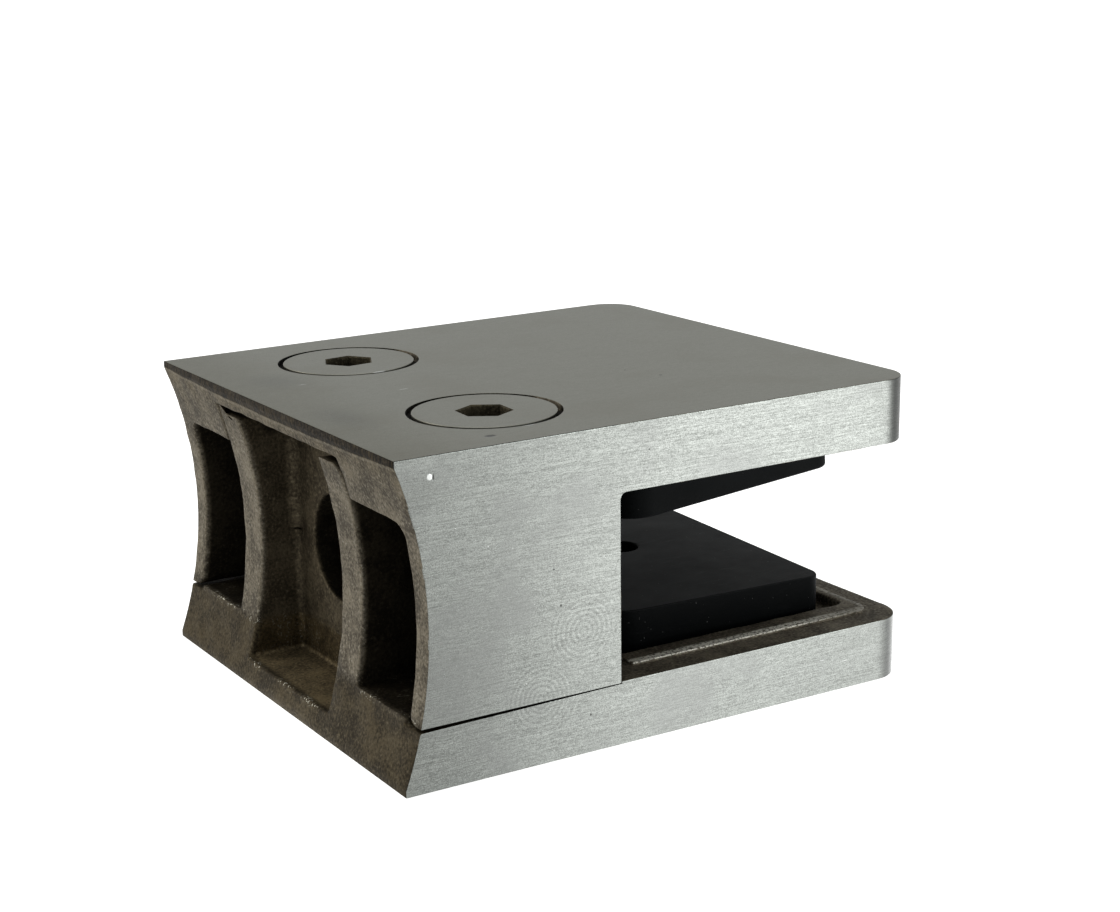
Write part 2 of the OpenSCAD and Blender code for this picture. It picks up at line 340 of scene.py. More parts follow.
brushedSpec = {
    "dark": (0.133, 0.139, 0.130),
    "light": (0.324, 0.340, 0.322),
    "toneEnds": (0.39, 0.61),                 # of the brushing, from dark to light
    "shares": (0.34, 0.22, 0.44),             # of streaks, strokes and speckle
    "streakLength": 0.8,                      # mm
    "streakWidth": 0.065,
    "strokeDraw": 0.15,                       # a streak's length in strokes
    "speckle": 0.085,                         # mm
    "waver": {"size": 3.3333, "reach": 0.35},  # mm, how the strokes wander
    "patch": {"size": 6.6667, "ends": (0.46, 0.70), "share": 0.55, "colour": (0.20, 0.206, 0.198)},
    "nick": {"size": 0.15, "ends": (0.72, 0.80), "share": 0.4, "colour": (0.55, 0.57, 0.55)},
    "roughLow": 0.24,
    "roughHigh": 0.34,
    "bump": 0.0012,                           # mm
    "dent": 0.02,                             # mm, depth of the marks
    "ringBump": 0.0030,                       # mm
    "ringTone": 0.10,
    "cornerShade": 0.34,                       # painted shade at the round front corners, which turn away from the light
    "cornerAlong": (21.6, 23.2),              # mm
    "cornerAcross": (19.9, 22.2),
    "backTone": 1.0,                          # toward the post
    "backTint": (1.0, 0.98, 0.92),
    "backAlong": (-15, -24.5),                # mm
}
topSpec = {**brushedSpec, "dark": (0.295, 0.293, 0.247), "light": (0.375, 0.370, 0.318),
           "patch": {**brushedSpec["patch"], "colour": (0.300, 0.290, 0.238)}, "bump": 0.0014,
           "roughLow": 0.33, "roughHigh": 0.42, "cornerShade": 1.0, "backTone": 0.80}
threadSpec = {**topSpec, "dark": (0.20, 0.20, 0.19), "light": (0.30, 0.30, 0.285)}

# marks are a centre and three half widths, in mm; the bright ones are painted glints, on small dents and
# scratches and, on the top, on the screws' rings
sideMarks = {
    "dark": [((-11.5, -23, 16.2), (0.10, 0.3, 0.10)),
             ((-10.9, -23, 13.1), (0.13, 0.3, 0.13)), ((-8.2, -23, 3.3), (0.12, 0.3, 0.12)),
             ((-21.98, -23, 25.3), (0.10, 0.3, 0.30)), ((-2.4, -23, 24.6), (0.07, 0.3, 0.07))],
    "faint": [((20.9, -23, 26.0), (1.0, 0.3, 0.7)), ((18.9, -23, 4.0), (0.9, 0.3, 0.7)),
              ((-23.4, -23, 24.2), (3.2, 0.3, 2.2)), ((21.6, -23, 24.8), (0.5, 0.3, 0.4)),
              ((-20.6, -23, 10.5), (0.35, 0.3, 0.45))],
    "bright": [((-22.3, -23, 25.35), (0.30, 0.3, 0.30)), ((-20.2, -23, 21.0), (0.06, 0.3, 0.06)),
               ((-17.4, -23, 19.1), (0.06, 0.3, 0.06)), ((-14.2, -23, 7.2), (0.06, 0.3, 0.06)),
               ((15.6, -23, 3.1), (0.5, 0.3, 0.03)), ((18.2, -23, 2.6), (0.4, 0.3, 0.03))],
}
topMarks = {
    "dark": [((-15.4, -20.3, 27), (0.62, 0.42, 0.5)), ((6.6, -6.2, 27), (0.14, 0.14, 0.3)),
             ((7.9, -9.8, 27), (0.2, 0.2, 0.3)), ((14.2, 4.0, 27), (0.1, 0.1, 0.3))],
    "faint": [((-20.5, 8.0, 27), (4.0, 5.0, 0.5)), ((-22.0, -8.0, 27), (3.0, 6.0, 0.5))],
    "bright": [((-12.9, -1.3, 27), (0.55, 0.10, 0.3)), ((-19.2, 5.6, 27), (0.5, 0.08, 0.3)),
               ((-11.1, -18.95, 27), (0.75, 0.15, 0.3)), ((-11.2, 6.4, 27), (0.8, 0.20, 0.3))],
}
markAndGlintLooks = {                                 # soft is the part of a mark's width that is full
    "faint": {"soft": 0, "share": 0.28, "colour": (0.12, 0.125, 0.115)},
    "dark": {"soft": 0.5, "share": 0.8, "colour": (0.03, 0.03, 0.028)},
    # painted glints
    "bright": {"soft": 0.5, "share": 0.7, "colour": (0.80, 0.82, 0.80)},
}
# centre, reach and step, in mm
ringMarks = [((-12.9, -23, 5.6), 4.2, 0.42), ((-8.8, -23, 10.6), 4.0, 0.46)]


def brushLines(tree, place, spec, across):
    # the wavering place and the brushing's height
    drift = newNode(tree, "ShaderNodeTexNoise", {"Vector": place, "Scale": 1 / (spec["waver"]["size"] * mm),
                    "Detail": 1})
    drift = newNode(tree, "ShaderNodeVectorMath", {0: drift.outputs["Color"], 1: (0.5, 0.5, 0.5)},
                    operation="SUBTRACT")
    drift = scaled(tree, drift.outputs[0], spec["waver"]["reach"] * mm)
    wavy = newNode(tree, "ShaderNodeVectorMath", {0: place, 1: drift}, operation="ADD").outputs[0]
    short, drawn = ([draw / spec["streakLength"]] * 3 for draw in (1, spec["strokeDraw"]))
    short[across] = drawn[across] = 1 / spec["streakWidth"]
    streaks = grain(tree, wavy, 1, detail=3, rough=0.66, stretch=short)
    strokes = grain(tree, wavy, 1, detail=2, rough=0.6, stretch=drawn)
    speckle = grain(tree, place, spec["speckle"], detail=2, rough=0.6)
    return wavy, blended(tree, (streaks, strokes, speckle), spec["shares"])


def brushedSteel(name, spec, across, marks, rings=()):
    # across is the axis over which the strokes repeat: 2 on the sides, 1 on the top
    made, tree, place = startMaterial(name)
    wavy, brushing = brushLines(tree, place, spec, across)
    tone = window(tree, brushing, *spec["toneEnds"], smooth=False)
    colour = mixColour(tree, tone, spec["dark"], spec["light"])
    colour = flecked(tree, colour, place, spec["patch"])
    colour = flecked(tree, colour, wavy, spec["nick"], detail=1, rough=0.5)
    x, y = splitAxes(tree, place)[:2]
    # painted shade darkens the round front corners
    if spec["cornerShade"] < 1:
        shadedCorner = product(tree, ramp(tree, x, spec["cornerAlong"]),
                           ramp(tree, magnitude(tree, y), spec["cornerAcross"]))
        colour = scaled(tree, colour, mixNumber(tree, shadedCorner, 1, spec["cornerShade"]))
    if spec["backTone"] < 1:
        tint = [spec["backTone"] * v for v in spec["backTint"]]
        colour = mixColour(tree, ramp(tree, x, spec["backAlong"]), colour, tint, "MULTIPLY")
    # the bright marks paint glints
    masks = {}
    for kind, look in markAndGlintLooks.items():
        masks[kind] = spotMask(tree, place, marks[kind], look["soft"])
        colour = mixColour(tree, product(tree, masks[kind], look["share"]), colour, look["colour"])
    bumps = [(brushing, spec["bump"]),
             (combine(tree, "SUBTRACT", masks["bright"], masks["dark"]), spec["dent"])]
    for centre, reach, step in rings:
        far = farFrom(tree, place, centre)
        wave = combine(tree, "SINE", product(tree, far, math.tau / (step * mm)), 0)
        wave = product(tree, wave, ramp(tree, far, (reach, reach / 2)))
        bumps.append((wave, spec["ringBump"]))
        colour = scaled(tree, colour, combine(tree, "ADD", product(tree, wave, spec["ringTone"]), 1))
    rough = mixNumber(tree, tone, spec["roughHigh"], spec["roughLow"])
    endMaterial(tree, colour, rough, bumps, 1.0)
    return made


# cast steel

# mm, from where a tone or mask comes in to where it is full
castPlaces = {
    "overBase": (5.2, 6.6),                   # up
    "underCover": (23.2, 21.6),
    "baseStain": (6.0, 5.0),
    "coverStain": (21, 32),
    "seatUp": (22, 23),
    "floorUp": (0.5, 0.2),                    # up from the channel's floor
    "outer": (0.8, 0.3),                      # behind the hollow back's curve
    "deep": (0.12, 0.7),
    "deeper": (2.5, 7.0),
    "seatIn": (1.5, 2.5),
    "channel": (8.7, 8.2),                    # to both sides of the middle
    "floorAlong": (-6.4, -6.8),               # along the clamp
    "slot": (0, 0.3),                         # along from the slot's end
    "seatAlong": (0, -0.5),
    "boreAlong": (0.1, 0.4),                  # along from the bolt wall
    "bore": (4.95, 4.80),                     # from the bore's axis
}


def castMasks(tree, x, y, z, depth, places):
    # each mask is 1 at one kind of place on the castings and 0 elsewhere
    def masked(value, key, start=0):
        return ramp(tree, value, places[key], start)

    up = combine(tree, "SUBTRACT", z, midZ)
    fromBore = combine(tree, "POWER", combine(tree, "ADD", product(tree, up, up), product(tree, y, y)), 0.5)
    slot = masked(x, "slot", slotEnd)
    outOfSlot = opposite(tree, slot)
    channel = masked(magnitude(tree, y), "channel")
    deep = masked(depth, "deep")
    floor = product(tree, channel, masked(z, "floorUp", floorZ), masked(x, "floorAlong"), deep)
    return {
        "slot": slot,
        "channel": channel,
        "deep": deep,
        "deeper": masked(depth, "deeper"),
        "floor": floor,
        "hollow": product(tree, deep, outOfSlot, opposite(tree, floor)),
        "seat": product(tree, masked(z, "seatUp"), masked(depth, "seatIn"), masked(x, "seatAlong", slotEnd)),
        "bore": product(tree, masked(fromBore, "bore"), masked(x, "boreAlong", boltWallX), outOfSlot),
        "overBase": masked(z, "overBase"),
        "underCover": masked(z, "underCover"),
        "outer": masked(depth, "outer"),
        "stained": product(tree, combine(tree, "MAXIMUM", masked(z, "baseStain"), masked(z, "coverStain")),
                           outOfSlot),
    }


stripSpec = {                                 # the dark ground strip along the top's back edge, in mm
    "depth": 1.10,                            # in its middle
    "bow": -0.54,                             # what it loses toward its ends
    "edge": (0.05, -0.05),
    "onBack": (0.7, 0.5),
    "stretch": (1, 5, 1.2),                   # of its drawn grain
    "drawnEnds": (0.40, 0.62),
    "tone": (0.08, 0.32),
    "tint": (1.0, 0.90, 0.74),
    "highlightUnder": 0.16,                       # a painted highlight along the edge under it
    "ridge": (0.16, 0.03),
    "highlightShare": 0.18,
}


def groundStrip(tree, place, colour, y, z, depth, pale, spec):
    across = combine(tree, "DIVIDE", y, halfW)
    low = combine(tree, "ADD", product(tree, across, across, spec["bow"] * mm), spec["depth"] * mm)
    under = combine(tree, "SUBTRACT", topZ, z)
    onBack = ramp(tree, depth, spec["onBack"])
    inStrip = product(tree, ramp(tree, combine(tree, "SUBTRACT", under, low), spec["edge"]), onBack)
    drawn = grain(tree, place, 1, detail=2, rough=0.6, stretch=spec["stretch"])
    tone = mixNumber(tree, window(tree, drawn, *spec["drawnEnds"]), *spec["tone"])
    colour = mixColour(tree, inStrip, colour, spec["tint"], "MULTIPLY")
    colour = scaled(tree, colour, mixNumber(tree, inStrip, 1, tone))
    # a painted highlight along the edge under the strip
    fromHighlight = distance(tree, under, combine(tree, "ADD", low, spec["highlightUnder"] * mm))
    ridge = product(tree, ramp(tree, fromHighlight, spec["ridge"]), onBack)
    return mixColour(tree, product(tree, ridge, spec["highlightShare"]), colour, pale)


wornLipHighlightSpec = {                                   # the worn line along the outer edge of each lip, with a painted highlight on it, in mm
    "aside": 20.25,
    "asideWidth": (0.85, 0.50),
    "front": 23.0,
    "frontWidth": (0.5, 0.15),
    "alongFrom": (-2.6, -2.3),
    "alongTo": (23.4, 23.1),
    "asideTo": (20.8, 20.5),
    "raised": (7.90, 7.80),                   # from the middle height
    "rubSize": 0.30,
    "rubEnds": (0.35, 0.55),
    "fadeAlong": (14, 21),                    # toward the front the painted highlight fades
    "fadeShare": 0.3,                         # to this
    "colour": (0.85, 0.83, 0.75),
}


def wornLipHighlight(tree, place, colour, x, y, z, spec):
    aside = magnitude(tree, y)
    beside = ramp(tree, distance(tree, aside, spec["aside"] * mm), spec["asideWidth"])
    before = ramp(tree, distance(tree, x, spec["front"] * mm), spec["frontWidth"])
    inside = product(tree, ramp(tree, x, spec["alongFrom"]), ramp(tree, x, spec["alongTo"]),
                     ramp(tree, aside, spec["asideTo"]))
    raised = ramp(tree, distance(tree, z, midZ), spec["raised"])
    rub = window(tree, grain(tree, place, spec["rubSize"], detail=2, rough=0.7), *spec["rubEnds"])
    fade = mixNumber(tree, ramp(tree, x, spec["fadeAlong"]), 1, spec["fadeShare"])
    # worn metal with a painted highlight along each lip's edge
    wornHighlight = product(tree, combine(tree, "MAXIMUM", beside, before), inside, raised, rub, fade)
    return mixColour(tree, wornHighlight, colour, spec["colour"])


rimGlintSpec = {                                 # painted glints along the rims of the floors, and paler specks on the pocket floors, in mm
    "edge": (0.60, 0.15),
    "level": (0.5, 0.1),
    "size": 0.20,
    "ends": (0.60, 0.68),
    "broadEnds": (0.44, 0.60),
    "colour": (0.60, 0.58, 0.50),
    "pocketUp": (5.8, 5.5),
    "pocketShare": 0.35,
    "pocketColour": (0.30, 0.29, 0.24),
}


def rimGlintsAndSpecks(tree, place, colour, z, depth, broad, mask, spec):
    nearEdge = ramp(tree, magnitude(tree, depth), spec["edge"])
    speck = window(tree, grain(tree, place, spec["size"], detail=1, rough=0.5), *spec["ends"])
    speck = product(tree, speck, window(tree, broad, *spec["broadEnds"]))
    # painted glints along the rims
    for rimZ, where in ((pocketZ, 1), (floorZ, mask["channel"])):
        level = ramp(tree, distance(tree, z, rimZ), spec["level"])
        colour = mixColour(tree, product(tree, level, nearEdge, where, speck), colour, spec["colour"])
    onPocket = product(tree, ramp(tree, z, spec["pocketUp"]), mask["hollow"], spec["pocketShare"])
    return mixColour(tree, product(tree, onPocket, speck), colour, spec["pocketColour"])


castSpec = {
    "dark": (0.070, 0.060, 0.045),
    "light": (0.205, 0.180, 0.136),
    "toneEnds": (0.41, 0.59),                 # of the grain, from dark to light
    "pale": (0.29, 0.27, 0.225),
    "paleEnds": (0.60, 0.70),
    "paleShare": 0.7,
    "fineSize": 0.26,                         # mm
    "broadSize": 2.8,
    "shares": (0.55, 0.45),                   # of the fine and the broad grain
    "bumps": (0.028, 0.05),                   # mm, of the same two
    "rough": (0.80, 0.55),
    "metallic": 0.85,
    "shine": 0.2,
    "stain": (0.92, 0.82, 0.60),              # on both plates
    "stainLeast": 0.7,                        # where the broad grain is lowest
    "warmth": (1.03, 0.96, 0.82),             # in the hollows
    "baseShade": 0.42,                         # painted shade on both plates' back faces, against the ribs between them
    "coverShade": 0.84,
    "floorLight": 3.0,                         # painted light on the channel's floor
    "deepShade": 0.15,                         # painted shade inside the pockets
    "channelShade": 0.50,                      # painted shade in the channel between the ribs
    "deeperShade": 0.6,                        # painted shade, times both, further in
    "slotTone": 1.0,                          # painted shade in the slot, where 1 leaves none
    "seatShade": 0.25,                         # painted shade in the screws' seats
    # painted shade in the bore
    "boreShade": 0.35,
}
socketSpec = {**castSpec, "dark": (0.06, 0.058, 0.050), "light": (0.17, 0.165, 0.14), "deepShade": 1,
              "channelShade": 1, "seatShade": 1, "baseShade": 1, "coverShade": 1}


def castSteel(name, spec):
    made, tree, place = startMaterial(name)
    x, y, z = splitAxes(tree, place)
    depth = behind(tree, x, z)
    fine = grain(tree, place, spec["fineSize"], rough=0.62)
    broad = grain(tree, place, spec["broadSize"], rough=0.6)
    tone = window(tree, blended(tree, (fine, broad), spec["shares"]), *spec["toneEnds"], smooth=False)
    colour = mixColour(tree, tone, spec["dark"], spec["light"])
    paleMask = product(tree, window(tree, fine, *spec["paleEnds"]), spec["paleShare"])
    colour = mixColour(tree, paleMask, colour, spec["pale"])
    mask = castMasks(tree, x, y, z, depth, castPlaces)

    # painted shade makes the plates' back faces darker than the ribs between them, and the plates are
    # stained
    plateShade = product(tree, mixNumber(tree, mask["overBase"], spec["baseShade"], 1),
                     mixNumber(tree, mask["underCover"], spec["coverShade"], 1))
    colour = scaled(tree, colour, mixNumber(tree, mask["outer"], 1, plateShade))
    stain = product(tree, mask["stained"], mixNumber(tree, broad, spec["stainLeast"], 1))
    colour = mixColour(tree, stain, colour, spec["stain"], "MULTIPLY")

    # painted shade darkens the hollows, the bore and the screws' seats, painted light brightens the
    # channel's floor, and the hollows are tinted warmer
    colour = scaled(tree, colour, mixNumber(tree, mask["bore"], 1, spec["boreShade"]))
    colour = mixColour(tree, mask["hollow"], colour, spec["warmth"], "MULTIPLY")
    shadeWithin = mixNumber(tree, mask["channel"], spec["deepShade"], spec["channelShade"])
    paintedShading = product(tree, mixNumber(tree, mask["deep"], 1, shadeWithin),
                   mixNumber(tree, mask["deeper"], 1, spec["deeperShade"]))
    paintedShading = mixNumber(tree, mask["slot"], paintedShading, spec["slotTone"])
    paintedShading = product(tree, paintedShading, mixNumber(tree, mask["floor"], 1, spec["floorLight"]),
                   mixNumber(tree, mask["seat"], 1, spec["seatShade"]))
    colour = scaled(tree, colour, paintedShading)

    colour = groundStrip(tree, place, colour, y, z, depth, spec["pale"], stripSpec)
    colour = wornLipHighlight(tree, place, colour, x, y, z, wornLipHighlightSpec)
    colour = rimGlintsAndSpecks(tree, place, colour, z, depth, broad, mask, rimGlintSpec)
    rough = mixNumber(tree, fine, *spec["rough"])
    endMaterial(tree, colour, rough, zip((fine, broad), spec["bumps"]), spec["metallic"],
                **{"Specular IOR Level": spec["shine"]})
    return made


sideFinish = brushedSteel("brushedSide", brushedSpec, 2, sideMarks, ringMarks)
topFinish = brushedSteel("brushedTop", topSpec, 1, topMarks)
castFinish = castSteel("castSteel", castSpec)
print("steel finishes made")


# the two castings

castingSpec = {
    "bevel": {"outer": 0.09, "rim": 0.07, "convex": 0.17, "hollow": 0.36},   # mm
    "share": 0.32,                            # most that a bevel takes of the face beside it
    "sharpFrom": 28,                          # degrees, where an edge gets a bevel
    "shadeFrom": 38,                          # and where it is shaded sharp
    "tile": 0.8,                              # mm, between the points of the cast faces
    "tileShift": 0.37,                        # tiles
    "lump": 0.05,                             # mm, how far the cast faces swell and sink
    "lumpSize": 1.9,
    "backLump": 1.8,                          # times as much on the hollow back
    "backFrom": 1.0,                          # mm behind the slot's end
    "calm": 7.0,                              # mm from a screw's axis that stay even
}
meshSpec = {
    "weld": 0.002,                            # mm, points nearer than this become one
    "flat": 0.2,                              # degrees, faces that turn less become one
    "level": 0.9,                             # least part of a normal that makes a face level
    "sloping": 0.5,                           # or sloping
    "upright": 0.7,                           # or upright
}
flush = 0.3 * mm                              # how near an outer face a point counts as on it


def faceKind(centre, normal):
    # side, top, bottom or cast, by where a face lies on the closed clamp
    if normal.z > meshSpec["level"] and centre.z > topZ - flush:
        return "top"
    if normal.z < -meshSpec["level"] and centre.z < baseZ + flush:
        return "bottom"
    if abs(normal.z) > meshSpec["sloping"]:
        return "cast"
    outY = math.copysign(normal.y, normal.y * centre.y)
    if abs(centre.y) > halfW - flush and outY > meshSpec["upright"]:
        return "side"
    if centre.x > frontX - flush and normal.x > meshSpec["upright"]:
        return "side"
    fromCorner = Vector((centre.x - (frontX - cornerR), abs(centre.y) - (halfW - cornerR)))
    outward = Vector((normal.x, outY)).dot(fromCorner) > 0
    if min(fromCorner) > 0 and fromCorner.length > cornerR - flush and outward:
        return "side"
    return "cast"


def kindOf(face):
    return faceKind(face.calc_center_median(), face.normal)


def reachFrom(edge, face):
    # how far a face runs from one of its edges
    a, b = edge.verts
    along = (b.co - a.co).normalized()
    return max(((v.co - a.co) - along * (v.co - a.co).dot(along)).length for v in face.verts)


def merged(node):
    bm = bmesh.new()
    bm.from_mesh(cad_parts[node].data)
    bmesh.ops.remove_doubles(bm, verts=bm.verts, dist=meshSpec["weld"] * mm)
    bmesh.ops.dissolve_limit(bm, angle_limit=math.radians(meshSpec["flat"]), verts=bm.verts, edges=bm.edges)
    return bm


def newPiece(name, bm):
    mesh = bpy.data.meshes.new(name)
    bm.to_mesh(mesh)
    bm.free()
    piece = bpy.data.objects.new(name, mesh)
    bpy.context.scene.collection.objects.link(piece)
    return piece


def workIn(piece):
    # modifiers become part of the mesh
    graph = bpy.context.evaluated_depsgraph_get()
    mesh = bpy.data.meshes.new_from_object(piece.evaluated_get(graph), depsgraph=graph)
    piece.modifiers.clear()
    old, piece.data = piece.data, mesh
    name = old.name
    bpy.data.meshes.remove(old)
    mesh.name = name


def flattenFaces(piece):
    weigh = piece.modifiers.new("flatFaces", "WEIGHTED_NORMAL")
    weigh.keep_sharp = True
    workIn(piece)


def softenEdges(name, node, spec):
    bm = merged(node)
    weight = bm.edges.layers.float.new("bevel_weight_edge")
    widest = max(spec["bevel"].values())
    for edge in bm.edges:
        if len(edge.link_faces) != 2 or math.degrees(edge.calc_face_angle(0)) < spec["sharpFrom"]:
            continue
        kinds = [kindOf(f) for f in edge.link_faces]
        if "cast" not in kinds:
            width = spec["bevel"]["outer"]
        elif kinds != ["cast", "cast"]:
            width = spec["bevel"]["rim"]
        else:
            width = spec["bevel"]["convex" if edge.is_convex else "hollow"]
        room = min(reachFrom(edge, f) for f in edge.link_faces) * spec["share"] / mm
        edge[weight] = min(width, room) / widest
    piece = newPiece(name, bm)
    bevel = piece.modifiers.new("softEdges", "BEVEL")
    bevel.limit_method = "WEIGHT"
    bevel.width = widest * mm
    bevel.segments = 2
    bevel.use_clamp_overlap = False
    workIn(piece)
    return piece


def tileCast(bm, axis, at):
    # cut the cast faces that cross one plane, apart from those the plane before it left tagged
    faces = [f for f in bm.faces if not f.tag and kindOf(f) == "cast"
             and min(v.co[axis] for v in f.verts) < at < max(v.co[axis] for v in f.verts)]
    if not faces:
        return
    geom = faces + list({e for f in faces for e in f.edges}) + list({v for f in faces for v in f.verts})
    plane, direction = Vector((0, 0, 0)), Vector((0, 0, 0))
    plane[axis] = at
    direction[axis] = 1
    bmesh.ops.bisect_plane(bm, geom=geom, dist=1e-7, plane_co=plane, plane_no=direction)


def lumpCast(piece, spec):
    # the cast faces are cut into tiles and swell and sink a little
    bm = bmesh.new()
    bm.from_mesh(piece.data)
    for axis in range(3):
        low, high = cadBox[0][axis], cadBox[1][axis]
        steps = int((high - low) / (spec["tile"] * mm))
        for k in range(1, steps):
            tileCast(bm, axis, low + (high - low) * (k + spec["tileShift"]) / steps)
    bm.normal_update()
    moves = {}
    for v in bm.verts:
        fromScrew = min((v.co.xy - axis).length for axis in screwAxes)
        if {kindOf(f) for f in v.link_faces} != {"cast"} or fromScrew < spec["calm"] * mm:
            continue
        spot = v.co / (spec["lumpSize"] * mm)
        more = spec["backLump"] if v.co.x < slotEnd - spec["backFrom"] * mm else 1
        moves[v] = v.normal * noise.noise(spot) * spec["lump"] * more * mm
    for v, move in moves.items():
        v.co += move
    for v in bm.verts:
        v.co = [min(max(v.co[k], cadBox[0][k]), cadBox[1][k]) for k in range(3)]
    bm.to_mesh(piece.data)
    bm.free()


def dressCasting(piece, finishes, spec):
    order = list(finishes)
    for key in order:
        piece.data.materials.append(finishes[key])
    for face in piece.data.polygons:
        kind = faceKind(face.center, face.normal)
        face.material_index = order.index("side" if kind == "bottom" else kind)
        face.use_smooth = True
    piece.data.set_sharp_from_angle(angle=math.radians(spec["shadeFrom"]))
    flattenFaces(piece)


finishes = {"cast": castFinish, "side": sideFinish, "top": topFinish}
for name, node, body, slot in (("baseCasting", "base_jaw", "base", "base_steel"),
                               ("coverCasting", "cover_jaw", "cover", "cover_steel")):
    casting = softenEdges(name, node, castingSpec)
    lumpCast(casting, castingSpec)
    dressCasting(casting, finishes, castingSpec)
    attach(casting, body)
    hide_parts(node)
    print(name, "made,", len(casting.data.polygons), "faces")


# rubber pads

rubberSpec = {
    "edge": 0.30,                             # mm
    "sharpFrom": 40,                          # degrees
    "faceFrom": 0.6,                          # part of a normal, from side to face
    "face": {"colour": (0.0045, 0.0052, 0.0056), "scuff": (0.018, 0.018, 0.019), "shine": 0.16},
    # painted shade: the pads' sides are the same rubber, painted darker than their faces
    "side": {"colour": (0.0012, 0.0018, 0.0020), "scuff": (0.004, 0.0045, 0.005), "shine": 0.05},
    "dust": {"size": 0.30, "ends": (0.755, 0.78), "share": 1, "colour": (0.06, 0.06, 0.06)},
    "fineSize": 0.22,                         # mm
    "broadSize": 3.5,
    "scuffStretch": (0.30, 1.6, 1.6),
    "scuffEnds": (0.56, 0.72),
    "broadEnds": (0.42, 0.62),
    "rough": (0.50, 0.68),
    "bumps": (0.010, 0.004),                  # mm, of the fine grain and the scuffs
}


def rubber(name, spec, part):
    made, tree, place = startMaterial(name)
    fine = grain(tree, place, spec["fineSize"], rough=0.6)
    broad = grain(tree, place, spec["broadSize"], rough=0.6)
    scuff = grain(tree, place, 1, rough=0.6, stretch=spec["scuffStretch"])
    worn = product(tree, window(tree, scuff, *spec["scuffEnds"]), window(tree, broad, *spec["broadEnds"]))
    colour = mixColour(tree, worn, spec[part]["colour"], spec[part]["scuff"])
    colour = flecked(tree, colour, place, spec["dust"], detail=1, rough=0.5)
    rough = mixNumber(tree, broad, *spec["rough"])
    endMaterial(tree, colour, rough, zip((fine, worn), spec["bumps"]), 0.0,
                **{"Specular IOR Level": spec[part]["shine"]})
    return made


rubberFinishes = [rubber("rubberFace", rubberSpec, "face"), rubber("rubberShadedSide", rubberSpec, "side")]
for name, node, body in (("lowerPad", "lower_pad", "base"), ("upperPad", "upper_pad", "cover")):
    bm = merged(node)
    sharp = [e for e in bm.edges if math.degrees(e.calc_face_angle(0)) > rubberSpec["sharpFrom"]]
    bmesh.ops.bevel(bm, geom=sharp, offset=rubberSpec["edge"] * mm, offset_type="OFFSET", segments=3,
                    profile=0.5, affect="EDGES", clamp_overlap=True)
    pad = newPiece(name, bm)
    for finish in rubberFinishes:
        pad.data.materials.append(finish)
    for face in pad.data.polygons:
        face.material_index = 0 if abs(face.normal.z) > rubberSpec["faceFrom"] else 1
    pad.data.shade_smooth()
    flattenFaces(pad)
    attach(pad, body)
    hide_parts(node)
print("rubber pads made")


# screws

screwSpec = {
    "headR": 5.98, "rim": 0.30, "cone": 3.0, "softRim": 0.04,      # mm
    "shankR": 2.98, "coreR": 2.52, "length": 20.0, "point": 0.6,
    "pitch": 1.0, "threadFrom": 5.0, "threadTurns": 14.4, "neck": 0.4,
    "socketFlats": 4.0, "socketDepth": 2.6, "socketLead": 0.12, "socketPoint": 0.5,
    "socketR": 2.35, "socketDown": (0.05, 4), "headDown": 0.31,    # where their finishes lie
    "leadReach": 1.05,                                             # times the flats
    "turn": {"screw_near": 27, "screw_far": 5},                    # degrees
    "shadeFrom": 32,
}


def hexReach(flats, angle):
    return flats / 2 / math.cos((angle % (math.pi / 3)) - math.pi / 6)


def screwBody(spec, turn, sides=72):
    # rings from the middle of the socket out over the head and down to the point
    head, rim, shank, core = spec["headR"], spec["rim"], spec["shankR"], spec["coreR"]
    rings = [("hex", 1, spec["socketDepth"]), ("hex", 1, spec["socketLead"]), ("hex", spec["leadReach"], 0),
             ("round", head - spec["softRim"], 0), ("round", head, spec["softRim"]), ("round", head, rim),
             ("round", shank, rim + spec["cone"]), ("round", shank, spec["threadFrom"] - spec["neck"]),
             ("round", core, spec["threadFrom"]), ("round", core, spec["length"] - spec["point"]),
             ("round", core - spec["point"], spec["length"])]
    bm = bmesh.new()
    loops = []
    for kind, reach, down in rings:
        loop = []
        for k in range(sides):
            angle = math.tau * k / sides
            r = hexReach(spec["socketFlats"], angle) * reach if kind == "hex" else reach
            loop.append(bm.verts.new((r * mm * math.cos(angle + turn), r * mm * math.sin(angle + turn),
                                      -down * mm)))
        loops.append(loop)
    for upper, lower in zip(loops, loops[1:]):
        for k in range(sides):
            bm.faces.new((upper[k], lower[k], lower[(k + 1) % sides], upper[(k + 1) % sides]))
    for loop, down in ((loops[0], spec["socketDepth"] + spec["socketPoint"]), (loops[-1], spec["length"])):
        middle = bm.verts.new((0, 0, -down * mm))
        for k in range(sides):
            bm.faces.new((middle, loop[k], loop[(k + 1) % sides]))
    bmesh.ops.recalc_face_normals(bm, faces=bm.faces)
    return bm


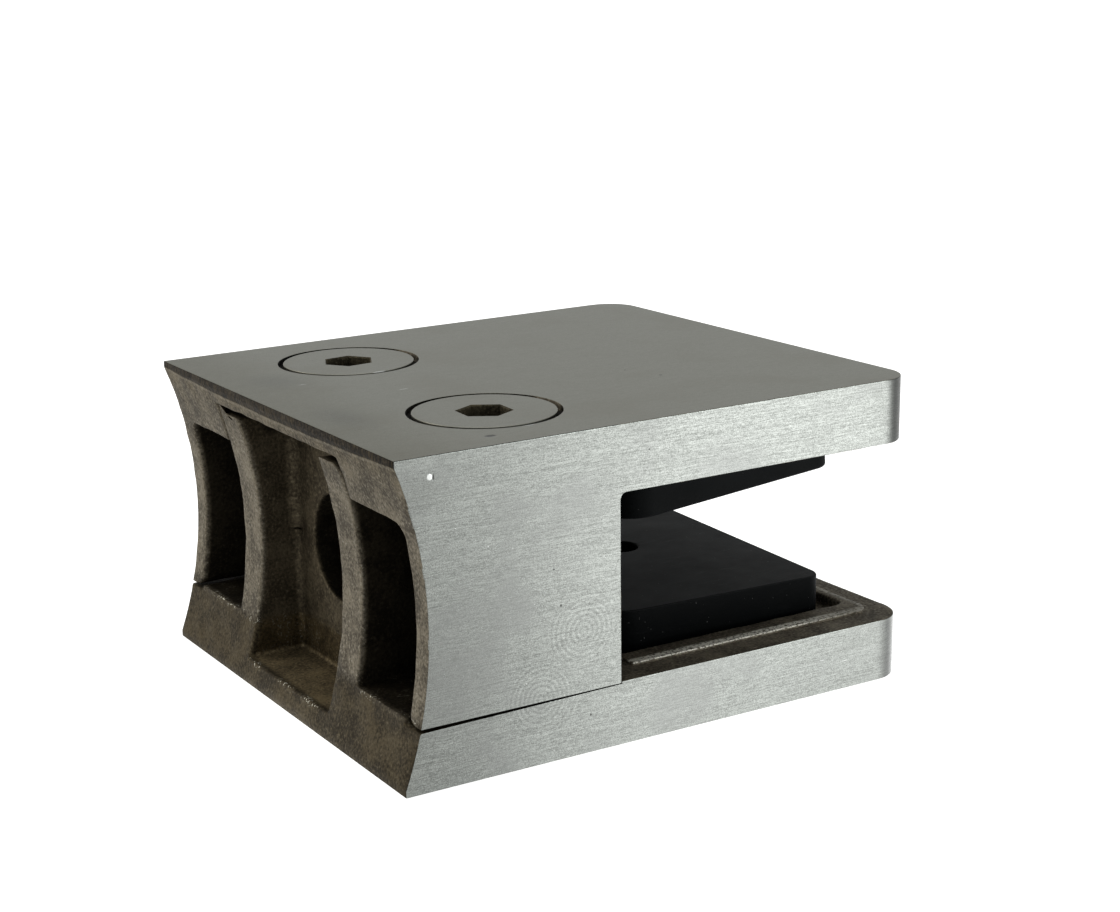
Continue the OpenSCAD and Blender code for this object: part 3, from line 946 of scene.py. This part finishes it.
def threadTree(finish):
    # a helix with a pointed section: the ridge of a screw's thread
    tree = bpy.data.node_groups.new("threadRidge", "GeometryNodeTree")
    for name in ("Turns", "Pitch", "Radius", "Ridge", "Foot"):
        tree.interface.new_socket(name, in_out="INPUT", socket_type="NodeSocketFloat")
    tree.interface.new_socket("Geometry", in_out="OUTPUT", socket_type="NodeSocketGeometry")
    given = newNode(tree, "NodeGroupInput").outputs
    helix = newNode(tree, "GeometryNodeCurveSpiral", {"Resolution": 32, "Rotations": given["Turns"],
                    "Start Radius": given["Radius"], "End Radius": given["Radius"],
                    "Height": product(tree, given["Turns"], given["Pitch"])})
    upright = newNode(tree, "GeometryNodeSetCurveNormal", {"Curve": helix.outputs[0]}, mode="Z_UP")
    section = newNode(tree, "GeometryNodeCurvePrimitiveCircle", {"Resolution": 4, "Radius": given["Ridge"]})
    ridge = newNode(tree, "GeometryNodeCurveToMesh", {"Curve": upright.outputs[0],
                    "Profile Curve": section.outputs[0], "Fill Caps": True})
    foot = newNode(tree, "ShaderNodeCombineXYZ", {2: given["Foot"]})
    placed = newNode(tree, "GeometryNodeTransform", {"Geometry": ridge.outputs[0],
                     "Translation": foot.outputs[0]})
    real = newNode(tree, "GeometryNodeRealizeInstances", {0: placed.outputs[0]})
    painted = newNode(tree, "GeometryNodeSetMaterial", {0: real.outputs[0], "Material": finish})
    newNode(tree, "NodeGroupOutput", {0: painted.outputs[0]})
    return tree


def grownBy(tree, values):
    piece = newPiece("grown", bmesh.new())
    grow = piece.modifiers.new("grow", "NODES")
    grow.node_group = tree
    sockets = {item.name: item.identifier for item in tree.interface.items_tree if item.in_out == "INPUT"}
    for name, value in values.items():
        grow[sockets[name]] = value
    workIn(piece)
    mesh = piece.data
    bpy.data.objects.remove(piece)
    return mesh


def dressScrew(screw, finishes, axis, top, spec):
    # finishes of the head, the socket and the thread
    for finish in finishes:
        screw.data.materials.append(finish)
    for face in screw.data.polygons:
        fromAxis = (face.center.xy - axis).length / mm
        down = (top - face.center.z) / mm
        inSocket = fromAxis < spec["socketR"] and spec["socketDown"][0] < down < spec["socketDown"][1]
        face.material_index = 1 if inSocket else (0 if down < spec["headDown"] else 2)
        face.use_smooth = True
    screw.data.set_sharp_from_angle(angle=math.radians(spec["shadeFrom"]))


screwFinishes = (topFinish, castSteel("socketSteel", socketSpec),
                 brushedSteel("threadSteel", threadSpec, 1, topMarks))
ridgeTree = threadTree(screwFinishes[2])
ridgeValues = {"Turns": screwSpec["threadTurns"], "Pitch": screwSpec["pitch"] * mm,
               "Radius": screwSpec["coreR"] * mm,
               "Ridge": (screwSpec["shankR"] - screwSpec["coreR"]) * mm,
               "Foot": (screwSpec["neck"] - screwSpec["length"]) * mm}
for name, node, body in (("nearScrew", "screw_near", "near_screw"), ("farScrew", "screw_far", "far_screw")):
    low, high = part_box(node)
    axis = ((low + high) / 2).xy
    bm = screwBody(screwSpec, math.radians(screwSpec["turn"][node]))
    bm.from_mesh(grownBy(ridgeTree, ridgeValues))
    bmesh.ops.translate(bm, verts=bm.verts, vec=(axis.x, axis.y, high.z))
    screw = newPiece(name, bm)
    dressScrew(screw, screwFinishes, axis, high.z, screwSpec)
    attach(screw, body)
    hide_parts(node)
print("screws made")
